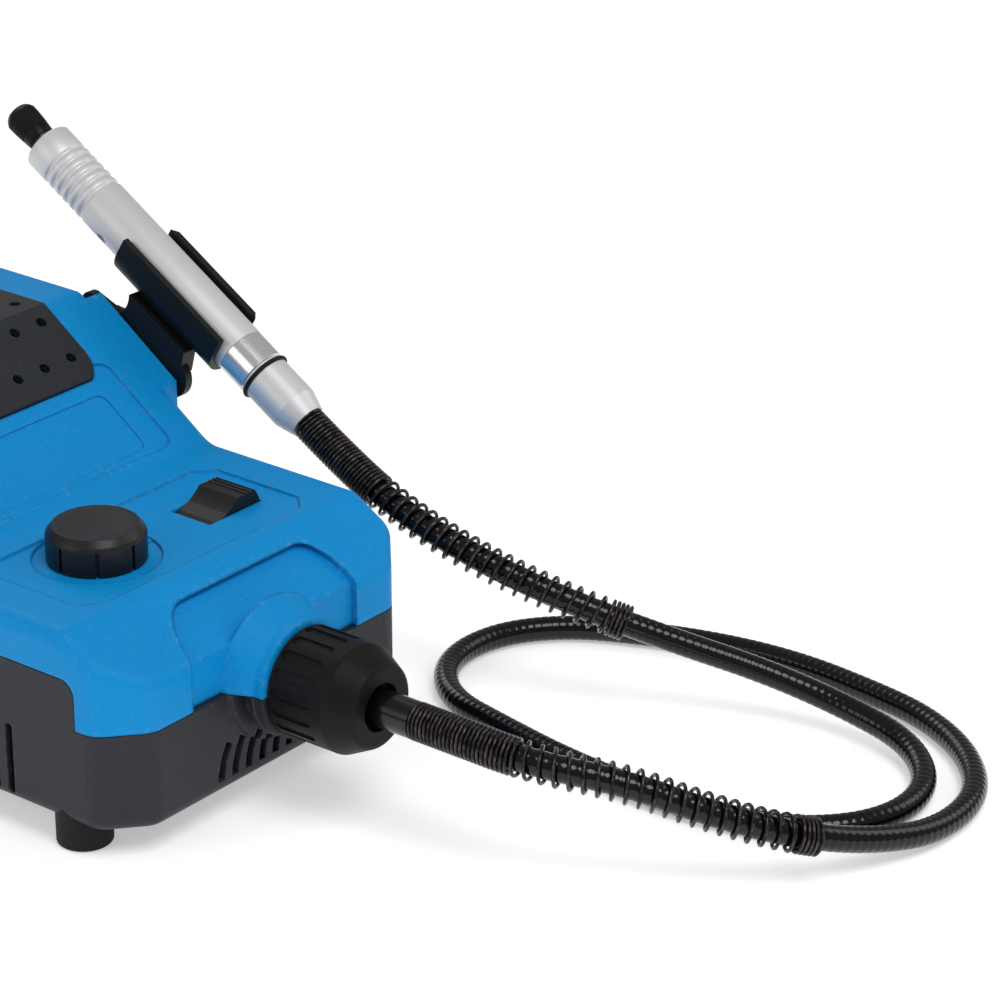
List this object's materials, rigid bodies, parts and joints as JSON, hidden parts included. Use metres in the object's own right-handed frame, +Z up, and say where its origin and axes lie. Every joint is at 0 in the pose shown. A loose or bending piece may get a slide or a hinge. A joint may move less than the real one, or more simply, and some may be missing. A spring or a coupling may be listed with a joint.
{
  "type": "rotary tool",
  "caption": "Bench rotary tool station with a screwed flexible drive shaft and a slim handpiece resting in a side holder.",
  "frame": {"origin": "middle of the bottom of the bounding box of the station and handpiece, on the table", "axes": "+X to the side that carries the handpiece holder, +Y from the nose to the back, +Z up"},
  "size_m": [0.2708, 0.4301, 0.1865],
  "materials": {
    "case_blue": "fine grained, satin",
    "case_charcoal": "matt grained",
    "rack_dark": "satin",
    "rubber_black": "matt",
    "steel": "satin",
    "polished": "polished",
    "hand_aluminium": "satin",
    "nut_black": "matt",
    "control_black": "satin",
    "sleeve_black": "glossy",
    "blackened": "satin",
    "copper": "bare",
    "magnet": "matt",
    "board_green": "glossy",
    "bell_white": "satin",
    "cell_wrap": "glossy"
  },
  "bodies": {
    "station": {"lower_shell": "case_charcoal", "upper_shell": "case_blue", "rubber_feet": "rubber_black", "case_screws": "steel", "bit_rack_panel": "rack_dark", "nose_collar": "blackened", "spindle_bearings": "steel", "motor_can": "steel", "motor_end_bell": "bell_white", "motor_brushes": "magnet", "motor_bearings": "steel", "motor_magnets": "magnet", "potentiometer_body": "steel", "rocker_pin": "steel", "switch_body": "control_black", "control_board": "board_green", "board_parts": "magnet", "terminal_block": "control_black", "holder_bracket": "control_black", "holder_screws": "steel", "base_ferrule": "sleeve_black", "flex_sleeve": "sleeve_black", "flex_core": "steel", "base_spring_guard": "blackened", "handpiece_spring_guard": "blackened"},
    "rotor": {"drive_spindle": "steel", "core_drive_tang": "steel", "shaft_coupler": "steel", "motor_shaft": "steel", "cooling_fan": "control_black", "armature_core": "steel", "armature_windings": "copper", "commutator": "copper"},
    "nut_slide": {"thrust_ring": "blackened"},
    "coupling_nut_body": {"coupling_nut": "nut_black"},
    "knob": {"speed_knob": "control_black", "potentiometer_shaft": "steel"},
    "rocker": {"power_rocker": "control_black"},
    "battery": {"battery_case": "case_charcoal", "battery_end_cap": "case_charcoal", "battery_cells": "cell_wrap"},
    "release_button": {"battery_release_button": "case_blue"},
    "handpiece": {"handpiece_tail": "hand_aluminium", "handpiece_o_ring": "rubber_black", "lock_ring": "polished", "handpiece_barrel": "hand_aluminium", "handpiece_bearings": "steel"},
    "chuck": {"handpiece_spindle": "steel", "collet": "steel"},
    "collet_nut_body": {"collet_nut": "blackened"}
  },
  "joints": [
    {"name": "motor_spin", "type": "hinge", "parent": "station", "child": "rotor", "pos_m": [-0.0164, -0.0283, 0.048], "axis": [0, 1, 0], "continuous": true},
    {"name": "nut_travel", "type": "slide", "parent": "station", "child": "nut_slide", "axis": [0, -1, 0], "range_m": [0, 0.0045]},
    {"name": "nut_turn", "type": "hinge", "parent": "nut_slide", "child": "coupling_nut_body", "pos_m": [-0.0164, -0.1183, 0.048], "axis": [0, -1, 0], "range_deg": [0, 1080]},
    {"name": "knob_turn", "type": "hinge", "parent": "station", "child": "knob", "pos_m": [-0.0392, -0.0256, 0.0826], "axis": [0, 0, 1], "range_deg": [0, 270]},
    {"name": "rocker_tilt", "type": "hinge", "parent": "station", "child": "rocker", "pos_m": [0.0184, -0.0293, 0.0782], "axis": [0, 1, 0], "range_deg": [0, 15]},
    {"name": "battery_slide", "type": "slide", "parent": "station", "child": "battery", "axis": [0, 1, 0], "range_m": [0, 0.07]},
    {"name": "button_press", "type": "slide", "parent": "battery", "child": "release_button", "axis": [0, -1, 0], "range_m": [0, 0.0025], "stiffness_N_per_m": 800},
    {"name": "handpiece_lift", "type": "slide", "parent": "station", "child": "handpiece", "axis": [0, -0.5299, 0.848], "range_m": [0, 0.03]},
    {"name": "handpiece_spin", "type": "hinge", "parent": "handpiece", "child": "chuck", "pos_m": [0.0816, 0.03278, 0.12259], "axis": [0, 0.848, 0.5299], "continuous": true},
    {"name": "collet_nut_turn", "type": "hinge", "parent": "chuck", "child": "collet_nut_body", "pos_m": [0.0816, 0.12183, 0.17824], "axis": [0, 0.848, 0.5299], "range_deg": [0, 90]}
  ],
  "couplings": [
    {"joint": "nut_travel", "follows": "nut_turn", "m_per_rad": 0.00023873},
    {"joint": "handpiece_spin", "follows": "motor_spin", "ratio": -1}
  ]
}
